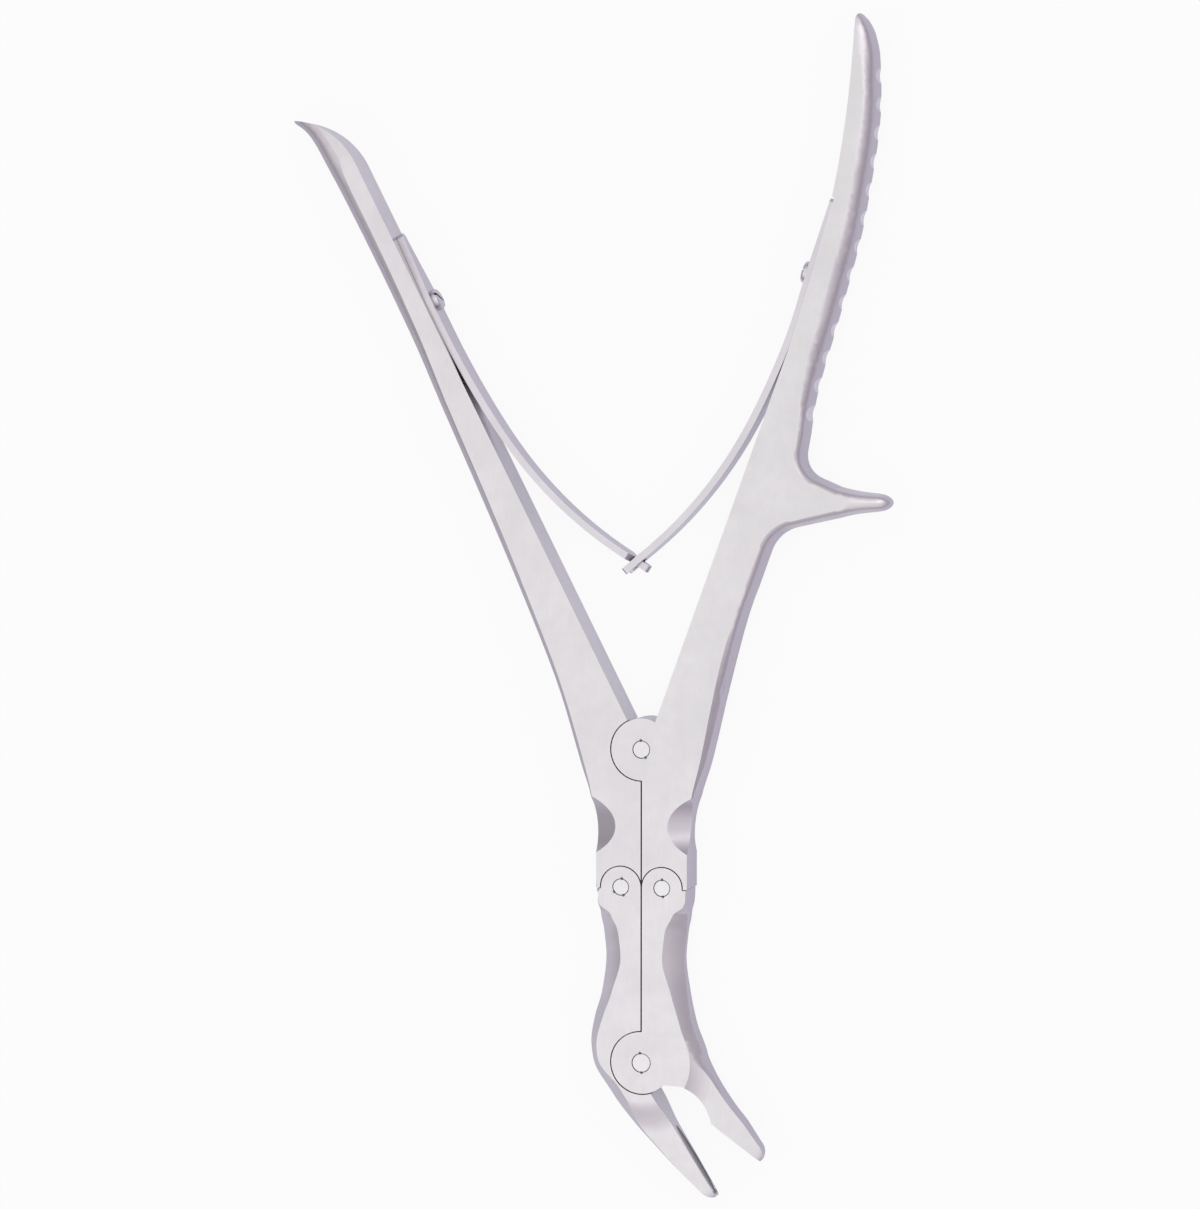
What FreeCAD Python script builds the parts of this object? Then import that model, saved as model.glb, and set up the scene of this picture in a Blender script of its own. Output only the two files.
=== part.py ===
import FreeCAD, Part
import math
import os

# Double-action bone rongeur, satin stainless steel, shown with its jaws open.
# Millimetres. The instrument lies flat: its back is on z = 0 and its front on z = thickness.
# The origin is the handle pivot. Handles point to +Y, jaws to -Y, left pieces lie at -X.

V = FreeCAD.Vector
doc = FreeCAD.newDocument("BoneRongeur")

# Driving dimensions
SIZES = {
    # The flat stack of ears and tongues
    "thickness": 8.5,
    "ear_thickness": 2.75,
    "layer_clearance": 0.08,
    "seat_clearance": 0.25,
    "centre_gap": 0.3,
    "shoulder_gap": 0.2,
    # Pivots
    "link_drop": 28.1,
    "link_half_spacing": 4.3,
    "jaw_drop": 35.8,
    "handle_disc_radius": 6.3,
    "jaw_disc_radius": 6.3,
    "handle_pin_radius": 1.85,
    "link_pin_radius": 1.75,
    "jaw_pin_radius": 2.0,
    "pin_seat_clearance": 0.01,
    "running_clearance": 0.05,
    "loop_clearance": 0.12,
    "pin_edge": 0.2,
    # Left handle
    "left_lean": 27.0,
    "left_length": 148.0,
    "left_root_width": 10.3,
    "left_middle_width": 7.7,
    "left_grip_width": 6.2,
    "left_toe_start": 133.5,
    "left_toe_flare": 8.3,
    # Right handle
    "right_lean": 20.0,
    "right_offset": 0.85,
    "right_length": 153.2,
    "right_tip_round": 1.5,
    "right_root_width": 10.6,
    "right_middle_width": 9.5,
    "right_grip_width": 6.6,
    "right_end_width": 5.9,
    "right_bend_start": 88.0,
    "right_bend_radius": 210.0,
    "grip_round": 4.3,
    # Both handles below their pivot
    "hip_half_width": 12.9,
    "waist_half_width": 9.7,
    "shoulder_half_width": 9.5,
    "edge_break": 0.25,
    "edge_bevel": 2.2,
    "thumb_cut_radius": 8.2,
    "thumb_cut_depth": 2.2,
    "thumb_cut_tilt": 31.0,
    "thumb_cut_drop": 15.7,
    # Finger rest on the right handle
    "rest_height": 50.2,
    "rest_reach": 50.6,
    "rest_length": 10.6,
    "rest_root_height": 6.2,
    "rest_tip_height": 3.4,
    "rest_round": 2.4,
    "rest_upper_corner": 5.0,
    "rest_lower_corner": 7.5,
    "rest_upper_slope": 23.2,
    "rest_lower_slope": 12.5,
    "rest_neck_lean": 10.4,
    # Jaws
    "jaw_shoulder_half_width": 9.3,
    "jaw_waist_half_width": 8.2,
    "jaw_hip_half_width": 10.9,
    "jaw_facet": 4.2,
    "bite_angle": 42.9,
    "bite_offset": 1.6,
    "jaw_open_angle": 11.1,
    "beak_length": 31.0,
    "beak_relief_radius": 10.2,
    "beak_relief_run": 5.3,
    "beak_thickness": 4.5,
    "beak_tip_thickness": 3.9,
    "right_rim_start": 18.6,
    "left_cup_length": 15.6,
    "right_cup_length": 11.2,
    "cup_width": 3.2,
    "cup_depth": 1.9,
    "cup_margin": 0.8,
    # Leaf springs and their screws
    "spring_thickness": 1.4,
    "spring_root_width": 6.2,
    "spring_end_width": 4.8,
    "spring_point_length": 15.5,
    "spring_point_radius": 1.1,
    "spring_top": 117.0,
    "spring_bend": 94.0,
    "spring_clearance": 0.02,
    "seat_start": 88.0,
    "seat_end": 117.3,
    "right_seat_rise": 1.58,
    "tongue_width": 2.0,
    "fork_slot_width": 2.6,
    "tongue_length": 5.2,
    "screw_place": 101.5,
    "screw_head_radius": 2.2,
    "screw_head_height": 1.2,
    "screw_shank_radius": 1.2,
    "screw_length": 4.2,
    "screw_slot_width": 0.55,
    "screw_slot_depth": 0.5,
}

sheet = doc.addObject("Spreadsheet::Sheet", "Sizes")
for row, (alias, value) in enumerate(SIZES.items(), start=1):
    sheet.set("A%d" % row, alias.replace("_", " "))
    sheet.set("B%d" % row, str(value))
    sheet.setAlias("B%d" % row, alias)
doc.recompute()


def size(alias):
    return float(sheet.get(alias))


THICKNESS = size("thickness")
MIDDLE = THICKNESS / 2
SPILL = 0.25
TOP_HEIGHT = THICKNESS + 2 * SPILL
RUN_PAST = 4
HALF_GAP = size("centre_gap") / 2
SHOULDER_LEVEL = -size("link_drop") - 0.3
LINK_LEVEL = -size("link_drop")
JAW_LEVEL = LINK_LEVEL - size("jaw_drop")
REST_FOOT = size("rest_height") / math.cos(math.radians(size("right_lean")))
REST_BELOW = REST_FOOT - 15.0
REST_ABOVE = REST_FOOT + 18.1
NECK_WIDTH = size("right_grip_width") + 2.3
LEFT, RIGHT = -1, 1


# Flat geometry

def direction(degrees):
    """Unit vector that leans by an angle from +Y, towards +X."""
    angle = math.radians(degrees)
    return V(math.sin(angle), math.cos(angle), 0)


class Axis:
    """A straight reference line: u runs along it, w stands off it to the outer side."""

    def __init__(self, start, lean, side):
        self.start = start
        self.along = direction(lean)
        self.out = V(side * abs(self.along.y), -side * abs(self.along.y) * self.along.x / self.along.y, 0)
        self.out.normalize()

    def point(self, u, w):
        return self.start + self.along * u + self.out * w


left_axis = Axis(V(0, 0, 0), -size("left_lean"), LEFT)
right_axis = Axis(V(size("right_offset"), 0, 0), size("right_lean"), RIGHT)
jaw_pivot = V(0, JAW_LEVEL, 0)
left_rim_lean = 180 - (size("bite_angle") - size("jaw_open_angle"))
right_rim_lean = 180 - (size("bite_angle") + size("jaw_open_angle"))
left_rim = Axis(jaw_pivot, left_rim_lean, LEFT)
left_rim.start = left_rim.point(0, size("bite_offset"))
right_rim = Axis(jaw_pivot, right_rim_lean, RIGHT)
right_rim.start = right_rim.point(0, -size("bite_offset"))


seat_length = size("seat_end") - size("seat_start")
right_seat_turn = math.degrees(math.atan(size("right_seat_rise") / seat_length))
SEAT = {
    LEFT: Axis(left_axis.point(size("seat_start"), 0), -size("left_lean"), LEFT),
    RIGHT: Axis(right_axis.point(size("seat_start"), 0), size("right_lean") - right_seat_turn, RIGHT),
}


def right_bow(u):
    """How far the right handle's inner edge bows in from its straight axis."""
    past = max(0.0, u - size("right_bend_start"))
    radius = size("right_bend_radius")
    return radius - math.sqrt(radius ** 2 - past ** 2)


# Cross-sections and lofts

def bevel(start, end, corner, roundness):
    """A curve from start to end that leans towards the corner."""
    middle = (start + end) * 0.5
    curve = Part.BezierCurve()
    curve.setPoles([start, middle + (corner - middle) * roundness, end])
    return curve.toShape()


def line(start, end):
    return Part.LineSegment(start, end).toShape()


def edge_section(numbers):
    """Cross-section of a bar whose outer edge is bevelled or rounded and whose inner side is flat."""
    x, y, inward_x, inward_y, depth, inset, drop, roundness, height = numbers
    outer, inward = V(x, y, 0), V(inward_x, inward_y, 0)
    inward.normalize()
    low, high = MIDDLE - height / 2, MIDDLE + height / 2

    def at(inset_from_edge, z):
        return outer + inward * inset_from_edge + V(0, 0, z)

    inner_low, inner_high = at(depth, low), at(depth, high)
    flat_low, flat_high = at(inset, low), at(inset, high)
    side_low, side_high = at(0, low + drop), at(0, high - drop)
    return Part.Wire([
        line(inner_low, flat_low),
        bevel(flat_low, side_low, at(0, low), roundness),
        line(side_low, side_high),
        bevel(side_high, flat_high, at(0, high), roundness),
        line(flat_high, inner_high),
        line(inner_high, inner_low),
    ])


def horn_section(lower, upper, inset, drop, roundness, height):
    """Cross-section of a bar that is bevelled along both edges."""
    low, high = MIDDLE - height / 2, MIDDLE + height / 2
    across = upper - lower
    width = across.Length
    across.normalize()

    def at(distance, z):
        return lower + across * distance + V(0, 0, z)

    corners = [
        (at(inset, low), at(0, low + drop), at(0, low)),
        (at(0, high - drop), at(inset, high), at(0, high)),
        (at(width - inset, high), at(width, high - drop), at(width, high)),
        (at(width, low + drop), at(width - inset, low), at(width, low)),
    ]
    edges = []
    for number, (start, end, corner) in enumerate(corners):
        edges.append(bevel(start, end, corner, roundness))
        edges.append(line(end, corners[(number + 1) % 4][0]))
    return Part.Wire(edges)


def loft(sections):
    return Part.makeLoft(sections, True, False, False, 3)


def steady_curve(places, values):
    """Curve through the values that never swings past them, as a function of the place."""
    runs = [b - a for a, b in zip(places, places[1:])]
    rises = [(b - a) / run for a, b, run in zip(values, values[1:], runs)]
    slopes = [rises[0]]
    for before, after in zip(rises, rises[1:]):
        slopes.append(2 * before * after / (before + after) if before * after > 0 else 0.0)
    slopes.append(rises[-1])

    def value(place):
        if place < 0:
            return values[0] + slopes[0] * place
        if place > places[-1]:
            return values[-1] + slopes[-1] * (place - places[-1])
        number = max(i for i in range(len(runs)) if i == 0 or places[i] <= place)
        run = runs[number]
        t = (place - places[number]) / run
        start, end = values[number], values[number + 1]
        lead, trail = slopes[number] * run, slopes[number + 1] * run
        swing = start - end
        return start + t * (lead + t * (-3 * swing - 2 * lead - trail + t * (2 * swing + lead + trail)))

    return value


def edge_bar(knots, step, tip_step=None):
    """Bar through a few known cross-sections, with even sections between them.

    It runs past its blunt ends, which are cut off later. With a tip step, the sections
    draw closer together towards the last one, which is the tip.
    """
    places = [0.0]
    for before, after in zip(knots, knots[1:]):
        places.append(places[-1] + math.hypot(after[0] - before[0], after[1] - before[1]))
    curves = [steady_curve(places, values) for values in zip(*knots)]
    total = places[-1]
    place = -RUN_PAST * step
    stops = [place]
    while place < total - 1.5 * (tip_step or step):
        place += max(tip_step, min(step, 0.25 * (total - place))) if tip_step else step
        stops.append(place)
    stops += [total] if tip_step else [place + step * extra for extra in range(1, RUN_PAST + 1)]
    return loft([edge_section([curve(stop) for curve in curves]) for stop in stops])


def plate(edges, spill=0.0):
    """Flat plate of full thickness inside a closed outline, or a little thicker on both faces."""
    face = Part.Face(Part.Wire(edges))
    face.translate(V(0, 0, -spill))
    return face.extrude(V(0, 0, THICKNESS + 2 * spill))


def path(points):
    return [line(a, b) for a, b in zip(points, points[1:])]


def meeting(first, heading, second, other_heading):
    """Point where two straight lines of the plan cross."""
    across = V(-other_heading.y, other_heading.x, 0)
    return first + heading * ((second - first).dot(across) / heading.dot(across))


def rounded_path(points, radii):
    """Lines through points, with an arc of the given radius at each inner point that has one."""
    edges = []
    start = points[0]
    for before, corner, after, radius in zip(points, points[1:], points[2:], radii):
        if not radius:
            edges.append(line(start, corner))
            start = corner
            continue
        back = (before - corner).normalize()
        ahead = (after - corner).normalize()
        half_angle = back.getAngle(ahead) / 2
        middle = (back + ahead).normalize()
        run = radius / math.tan(half_angle)
        arc_start, arc_end = corner + back * run, corner + ahead * run
        arc_middle = corner + middle * (radius / math.sin(half_angle) - radius)
        edges.append(line(start, arc_start))
        edges.append(Part.Arc(arc_start, arc_middle, arc_end).toShape())
        start = arc_end
    edges.append(line(start, points[-1]))
    return edges


def along(axis, u, width, inset, drop, roundness, height=None, over=2.0, bow=0.0):
    """Numbers of a section at right angles to an axis, whose inner side passes the axis by a margin."""
    outer = axis.point(u, width - bow)
    return (outer.x, outer.y, -axis.out.x, -axis.out.y, width + over, inset, drop, roundness, height or TOP_HEIGHT)


def level(side, y, half_width, inset, drop, roundness, over=1.5, tilt=0.0):
    """Numbers of a section across one half of the instrument, below the handle pivot."""
    across = -side * math.cos(math.radians(tilt))
    rise = math.sin(math.radians(tilt))
    return (side * half_width, y, across, rise, half_width + over, inset, drop, roundness, TOP_HEIGHT)


# Document objects

def feature(name, shape):
    made = doc.addObject("Part::Feature", name)
    made.Shape = shape
    return made


def cylinder(name, centre, radius, bottom, height):
    """Upright cylinder whose sizes are expressions on the sheet."""
    made = doc.addObject("Part::Cylinder", name)
    made.Placement.Base = centre
    made.setExpression("Radius", radius)
    made.setExpression("Height", height)
    made.setExpression("Placement.Base.z", bottom)
    return made


def fuse(name, parts):
    made = doc.addObject("Part::MultiFuse", name)
    made.Shapes = parts
    made.Refine = True
    return made


def cut(name, base, tools):
    made = doc.addObject("Part::Cut", name)
    made.Base = base
    made.Tool = tools[0] if len(tools) == 1 else fuse(name + "_tools", tools)
    made.Refine = False
    return made


EAR = "Sizes.ear_thickness"
LAYER = "Sizes.layer_clearance"
TONGUE_BOTTOM = "(%s + %s) * 1 mm" % (EAR, LAYER)
TONGUE_HEIGHT = "(Sizes.thickness - 2 * %s - 2 * %s) * 1 mm" % (EAR, LAYER)
RECESS_HEIGHT = "(%s + %s + 1) * 1 mm" % (EAR, LAYER)
FRONT_RECESS = "(Sizes.thickness - %s - %s) * 1 mm" % (EAR, LAYER)
SLOT_HEIGHT = "(Sizes.thickness - 2 * %s) * 1 mm" % EAR
FULL_HEIGHT = "Sizes.thickness * 1 mm"


def disc_radius(kind):
    if kind == "link":
        return "Sizes.link_half_spacing - Sizes.centre_gap / 2"
    return "Sizes.%s_disc_radius" % kind


def tongue_disc(name, centre, kind):
    return cylinder(name, centre, "(%s) * 1 mm" % disc_radius(kind), TONGUE_BOTTOM, TONGUE_HEIGHT)


def ear_disc(name, centre, kind):
    return cylinder(name, centre, "(%s) * 1 mm" % disc_radius(kind), "0 mm", FULL_HEIGHT)


def ear_recesses(name, centre, kind):
    """Front and back recesses of a tongue piece, in which the other piece's ears turn."""
    radius = "(%s + Sizes.seat_clearance) * 1 mm" % disc_radius(kind)
    back = cylinder(name + "_back", centre, radius, "-1 mm", RECESS_HEIGHT)
    front = cylinder(name + "_front", centre, radius, FRONT_RECESS, RECESS_HEIGHT)
    return [back, front]


def tongue_slot(name, centre, kind):
    """Slot between the ears, in which the other piece's tongue turns."""
    radius = "(%s + Sizes.seat_clearance) * 1 mm" % disc_radius(kind)
    return cylinder(name, centre, radius, EAR + " * 1 mm", SLOT_HEIGHT)


def bore(name, centre, kind, clearance):
    radius = "(Sizes.%s_pin_radius + Sizes.%s) * 1 mm" % (kind, clearance)
    return cylinder(name, centre, radius, "-1 mm", "(Sizes.thickness + 2) * 1 mm")


HANDLE_PIVOT = V(0, 0, 0)
LINK_PIVOT = {side: V(side * size("link_half_spacing"), LINK_LEVEL, 0) for side in (LEFT, RIGHT)}


# Handles

def thumb_cuts(side):
    """Lens-shaped hollows on the front and back corners of the waist."""
    radius = size("thumb_cut_radius")
    tilt = math.radians(size("thumb_cut_tilt"))
    length = 6 * THICKNESS
    cuts = []
    for facing in (-1, 1):
        corner = V(side * size("waist_half_width"), -size("thumb_cut_drop"), MIDDLE + facing * MIDDLE)
        out = V(side * math.sin(tilt), 0, facing * math.cos(tilt))
        ahead = V(side * math.cos(tilt), 0, -facing * math.sin(tilt))
        centre = corner + out * (radius - size("thumb_cut_depth")) - ahead * (length / 2)
        cuts.append(Part.makeCylinder(radius, length, centre, ahead))
    return cuts


def lower_handle_sections(side):
    """Sections from the shoulder, where the edges are only broken, up to the handle pivot."""
    hip = size("hip_half_width")
    waist = size("waist_half_width")
    shoulder = size("shoulder_half_width")
    bevelled, broken = size("edge_bevel"), size("edge_break")
    return [
        level(side, SHOULDER_LEVEL - 2, shoulder, broken, broken, 0.1),
        level(side, -22.0, shoulder, broken, broken, 0.1),
        level(side, -17.0, waist, broken, broken, 0.1),
        level(side, -10.5, 0.25 * hip + 0.75 * waist, 2 * broken, 2 * broken, 0.1),
        level(side, -3.0, hip, 0.5 * bevelled, 0.5 * bevelled, 0.1, tilt=14.0, over=2.5),
    ]


def left_handle_blank():
    length = size("left_length")
    root, middle, grip = size("left_root_width"), size("left_middle_width"), size("left_grip_width")
    flare, toe = size("left_toe_flare"), size("left_toe_start")
    full = size("grip_round")
    soft = size("edge_bevel")
    knots = lower_handle_sections(LEFT) + [
        along(left_axis, 18.0, root, 0.6 * soft, 0.6 * soft, 0.3),
        along(left_axis, 0.26 * length, 0.6 * middle + 0.4 * root, 0.8 * soft, soft, 0.4),
        along(left_axis, 0.4 * length, middle, soft, 1.2 * soft, 0.5),
        along(left_axis, 0.55 * length, grip + 0.7, 0.6 * full, 0.75 * full, 0.6),
        along(left_axis, 0.65 * length, grip + 0.1, 0.75 * full, 0.9 * full, 0.7),
        along(left_axis, length - 20, grip + 0.1, full - 0.2, full - 0.2, 0.8),
        along(left_axis, length - 12, grip + 0.4, full - 0.4, full - 0.4, 0.8, THICKNESS),
        along(left_axis, length - 4, flare - 1.1, 3.2, 3.4, 0.8, THICKNESS - 1),
        along(left_axis, length + 3, flare + 2.2, 2.5, 2.6, 0.8, THICKNESS - 3),
    ]
    toe_start = left_axis.point(toe, 0)
    toe_radius = ((length - toe) ** 2 + flare ** 2) / (2 * flare)
    turn = math.asin((length - toe) / toe_radius)
    toe_centre = left_axis.point(toe, toe_radius)

    def toe_point(angle):
        return left_axis.point(toe + toe_radius * math.sin(angle), toe_radius * (1 - math.cos(angle)))

    toe_end = toe_point(turn)
    lean = math.radians(size("left_lean"))
    foot = V(-HALF_GAP, SHOULDER_LEVEL + size("shoulder_gap") / 2, 0)
    outline = path([
        V(-40, foot.y, 0),
        foot,
        V(-HALF_GAP, HALF_GAP / math.tan(lean), 0),
        toe_start,
    ])
    outline.append(Part.Arc(toe_start, toe_point(turn / 2), toe_end).toShape())
    outline += path([toe_end, toe_end + (toe_centre - toe_end) * 0.8, V(-40, foot.y, 0)])
    return edge_bar(knots, 4.0).common(plate(outline)).cut(thumb_cuts(LEFT))


def right_handle_blank():
    length = size("right_length")
    root, middle = size("right_root_width"), size("right_middle_width")
    grip, end = size("right_grip_width"), size("right_end_width")
    full, soft = size("grip_round"), size("edge_bevel")
    rest_edge = size("rest_round") + SPILL

    def grip_section(u, width, inset, drop, roundness, height=None):
        return along(right_axis, u, width, inset, drop, roundness, height, over=3.0, bow=right_bow(u))

    lower = lower_handle_sections(RIGHT) + [
        grip_section(18.4, root, 0.9 * soft, 0.9 * soft, 0.3),
        grip_section(REST_BELOW - 5.0, middle, rest_edge, rest_edge, 0.83),
        grip_section(REST_BELOW + 1.0, middle, rest_edge, rest_edge, 0.83),
    ]
    upper = [
        grip_section(REST_ABOVE, NECK_WIDTH, rest_edge, rest_edge, 0.83),
        grip_section(REST_FOOT + 22.0, grip + 1.6, 0.7 * full, 0.75 * full, 0.7),
        grip_section(REST_FOOT + 27.0, grip + 1.0, 0.85 * full, 0.9 * full, 0.6),
        grip_section(length - 56.0, grip + 0.2, full, full, 0.55),
        grip_section(length - 36.0, grip, full, full, 0.55),
        grip_section(length - 14.0, end, 4.1, full - 0.1, 0.6),
        grip_section(length - 7.0, 5.0, 3.9, 4.0, 0.7, THICKNESS),
        grip_section(length - 3.0, 3.7, 3.0, 3.4, 0.8, 7.8),
        grip_section(length - 0.8, 2.0, 1.6, 2.6, 0.9, 6.4),
        grip_section(length, 0.5, 0.4, 1.6, 0.9, 5.0),
    ]
    lean = math.radians(size("right_lean"))
    seat_end = size("seat_end")
    tip_round = size("right_tip_round")

    def inner(u):
        return right_axis.point(u, -right_bow(u))

    bow_angle = math.degrees(math.asin((length - size("right_bend_start")) / size("right_bend_radius")))
    end_axis = Axis(inner(length), size("right_lean") - bow_angle, RIGHT)
    shoulder_point = end_axis.point(-tip_round, 0)
    foot = V(HALF_GAP, SHOULDER_LEVEL + size("shoulder_gap") / 2, 0)
    kink = V(HALF_GAP, (HALF_GAP - size("right_offset")) / math.tan(lean), 0)
    outline = path([
        V(60, foot.y, 0),
        foot,
        kink,
        SEAT[RIGHT].start,
        SEAT[RIGHT].point(seat_length, 0),
        inner(seat_end),
    ])
    outline.append(Part.Arc(inner(seat_end), inner((seat_end + length) / 2), shoulder_point).toShape())
    turned = tip_round * (1 - math.sqrt(0.5))
    outline.append(Part.Arc(
        shoulder_point, end_axis.point(-turned, turned), end_axis.point(0, tip_round)).toShape())
    outline += path([end_axis.point(0, tip_round), end_axis.point(0, 30), V(60, foot.y, 0)])
    bar = finger_rest().fuse([
        edge_bar(upper, 3.5, 0.6).common(right_zone(REST_ABOVE, length + 10)),
        edge_bar(lower, 3.5).common(right_zone(-size("jaw_drop"), REST_BELOW)),
    ])
    return bar.common(plate(outline)).cut(thumb_cuts(RIGHT))


def right_zone(start, end):
    """Slab that holds the stretch of the right handle between two distances."""
    wide = 3 * size("hip_half_width")
    corners = [(start, -wide), (start, wide), (end, wide), (end, -wide), (start, -wide)]
    return plate(path([right_axis.point(u, w) for u, w in corners]), 2 * SPILL)


def finger_rest():
    """Horn for a finger: a plate with rounded edges that runs out of the handle into a tapered tip."""
    height, reach = size("rest_height"), size("rest_reach")
    half_root = size("rest_root_height") / 2
    half_tip = size("rest_tip_height") / 2
    edge = size("rest_round") + SPILL
    root_x = reach - size("rest_length")
    low, high = V(root_x, height - half_root, 0), V(root_x, height + half_root, 0)
    below = right_axis.point(REST_BELOW, size("right_middle_width"))
    above = right_axis.point(REST_ABOVE, NECK_WIDTH)
    low_corner = meeting(below, right_axis.along, low, direction(90 - size("rest_lower_slope")))
    high_corner = meeting(above, direction(size("rest_neck_lean")), high, direction(90 + size("rest_upper_slope")))
    edges = rounded_path(
        [below, low_corner, low, high, high_corner, above,
         right_axis.point(REST_ABOVE, -3.0), right_axis.point(REST_BELOW, -3.0), below],
        [size("rest_lower_corner"), 0, 0, size("rest_upper_corner"), 0, 0, 0])
    root = plate(edges, SPILL)
    root = root.makeFillet(edge, [rim for rim in root.Edges if is_rest_rim(rim)])

    def across(share, half_height, inset, drop, thick):
        x = root_x + share * size("rest_length")
        return horn_section(V(x, height - half_height, 0), V(x, height + half_height, 0), inset, drop, 0.83, thick)

    horn = loft([
        across(0.0, half_root, edge, edge, TOP_HEIGHT),
        across(0.25, 0.55 * half_root + 0.45 * half_tip, 0.85 * edge, edge, 0.94 * TOP_HEIGHT),
        across(0.6, 1.15 * half_tip, 0.7 * edge, 0.95 * edge, 0.78 * TOP_HEIGHT),
        across(0.88, 0.86 * half_tip, 0.5 * edge, 0.7 * edge, 0.58 * TOP_HEIGHT),
        across(1.0, 0.3 * half_tip, 0.17 * edge, 0.35 * edge, 0.3 * TOP_HEIGHT),
    ])
    return root.fuse(horn)


def is_rest_rim(edge):
    """True for the long outer rims of the horn's root, on the front and the back."""
    box = edge.BoundBox
    if box.ZLength > 1e-6 or box.XLength < 1e-6:
        return False
    return min(right_axis.out.dot(vertex.Point - right_axis.start) for vertex in edge.Vertexes) > 5.0


def build_left_handle():
    blank = feature("left_handle_blank", left_handle_blank())
    discs = [
        tongue_disc("left_handle_tongue", HANDLE_PIVOT, "handle"),
        tongue_disc("left_handle_link_tongue", LINK_PIVOT[LEFT], "link"),
    ]
    tools = ear_recesses("left_handle_recess", HANDLE_PIVOT, "handle")
    tools += ear_recesses("left_handle_link_recess", LINK_PIVOT[LEFT], "link")
    body = cut("left_handle_body", blank, tools)
    joined = fuse("left_handle_joined", [body] + discs)
    return cut("left_handle", joined, [
        bore("left_handle_bore", HANDLE_PIVOT, "handle", "running_clearance"),
        bore("left_handle_link_bore", LINK_PIVOT[LEFT], "link", "running_clearance"),
        screw_hole("left_handle_screw_hole", LEFT),
    ])


def build_right_handle():
    blank = feature("right_handle_blank", right_handle_blank())
    tools = ear_recesses("right_handle_link_recess", LINK_PIVOT[RIGHT], "link")
    body = cut("right_handle_body", blank, tools)
    joined = fuse("right_handle_joined", [
        body,
        ear_disc("right_handle_ears", HANDLE_PIVOT, "handle"),
        tongue_disc("right_handle_link_tongue", LINK_PIVOT[RIGHT], "link"),
    ])
    return cut("right_handle", joined, [
        tongue_slot("right_handle_slot", HANDLE_PIVOT, "handle"),
        bore("right_handle_bore", HANDLE_PIVOT, "handle", "pin_seat_clearance"),
        bore("right_handle_link_bore", LINK_PIVOT[RIGHT], "link", "running_clearance"),
        screw_hole("right_handle_screw_hole", RIGHT),
    ])


# Jaws

def jaw_shank_sections(side):
    """Sections from the jaw's shoulder to the swelling round the jaw pivot."""
    shoulder = size("jaw_shoulder_half_width")
    waist = size("jaw_waist_half_width")
    facet = size("jaw_facet")
    broken = size("edge_break")
    return [
        level(side, SHOULDER_LEVEL + 1.5, shoulder, broken, broken, 0.1),
        level(side, LINK_LEVEL - 3.2, shoulder - 0.2, broken, broken, 0.1),
        level(side, LINK_LEVEL - 4.2, shoulder - 0.3, 0.35 * facet, 0.3 * facet, 0.1),
        level(side, LINK_LEVEL - 6.0, waist + 0.85, 0.74 * facet, 0.62 * facet, 0.1),
        level(side, LINK_LEVEL - 9.2, waist + 0.45, 0.98 * facet, 0.83 * facet, 0.1),
        level(side, LINK_LEVEL - 14.5, waist, facet, 0.85 * facet, 0.1),
        level(side, LINK_LEVEL - 21.5, waist + 0.7, 0.72 * facet, 0.7 * facet, 0.1),
    ]


def beak_sections(rim, profile, first_over):
    """Sections along a biting rim, from pairs of distance and width."""
    facet = 0.7 * size("jaw_facet")
    sections = []
    for u, width in profile:
        inset = min(facet, 0.4 * width)
        over = first_over if u == profile[0][0] else 1.0
        sections.append(along(rim, u, width, inset, min(facet, inset + 1.2), 0.15, over=over))
    return sections


def beak_relief(start_angle, sweep, lead_in):
    """Turned cut round the jaw pivot that thins a beak on its front and its back."""
    radius, run = size("beak_relief_radius"), size("beak_relief_run")
    half = size("beak_thickness") / 2
    half_tip = size("beak_tip_thickness") / 2
    reach = 1.3 * size("beak_length")
    taper = (half - half_tip) / (size("beak_length") - radius - run)
    clear = MIDDLE + 2.0
    cuts = []
    for facing in (-1, 1):
        def at(distance, height):
            return jaw_pivot + V(distance, 0, MIDDLE + facing * height)

        start, end = at(radius - lead_in, MIDDLE), at(radius + run, half)
        foot = at(radius + 0.55 * run, half) if lead_in == 0 else at(radius + 0.3 * run, half)
        brow = start if lead_in == 0 else at(radius, MIDDLE)
        slope = Part.BezierCurve()
        slope.setPoles([start, brow, foot, end] if lead_in else [start, foot, end])
        far = at(reach, half - taper * (reach - radius - run))
        edges = [slope.toShape()]
        edges += path([end, far, at(reach, clear), at(radius - lead_in, clear), start])
        face = Part.Face(Part.Wire(edges))
        face.rotate(jaw_pivot, V(0, 0, 1), start_angle)
        cuts.append(face.revolve(jaw_pivot, V(0, 0, 1), sweep))
    return cuts


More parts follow.
